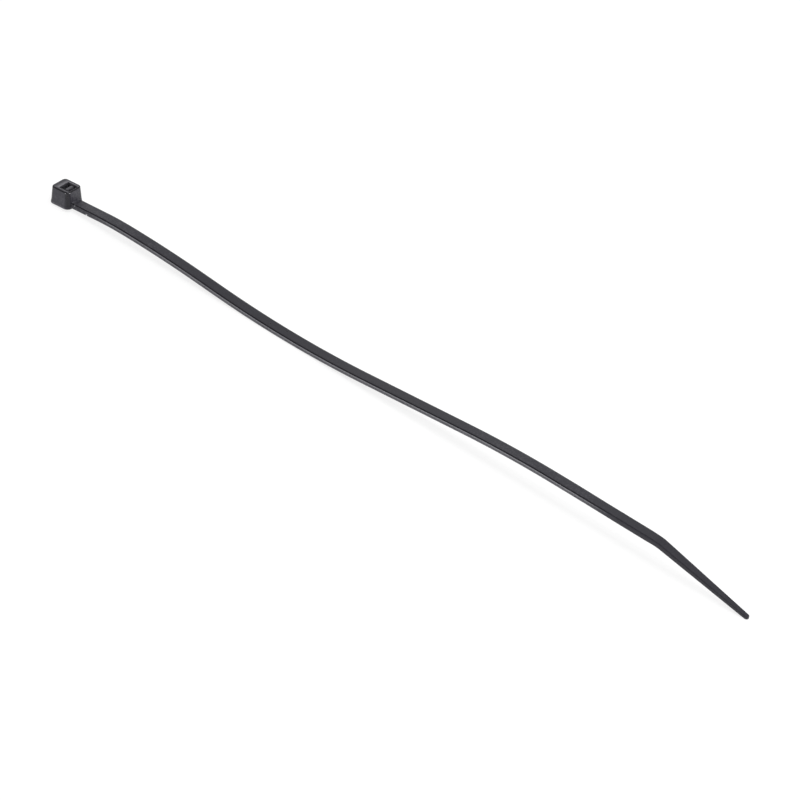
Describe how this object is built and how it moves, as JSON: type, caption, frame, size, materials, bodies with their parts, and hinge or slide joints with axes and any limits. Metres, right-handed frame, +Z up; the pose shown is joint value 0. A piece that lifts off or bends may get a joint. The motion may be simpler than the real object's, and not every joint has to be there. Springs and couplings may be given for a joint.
{
  "type": "cable tie",
  "caption": "Small ratchet cable tie moulded in one piece: a slotted head with a pawl, a strap toothed underneath and a tapered tail, lying slightly bent.",
  "frame": {"origin": "middle of the slot's mouth in the head's foot", "axes": "+X along the strap from the head to the tail, +Z up as the tie lies, +Y across the strap"},
  "size_m": [0.2031, 0.0054, 0.0065],
  "materials": {
    "nylon": "satin moulded nylon"
  },
  "bodies": {
    "root": {"cable_tie": "nylon"}
  },
  "joints": []
}
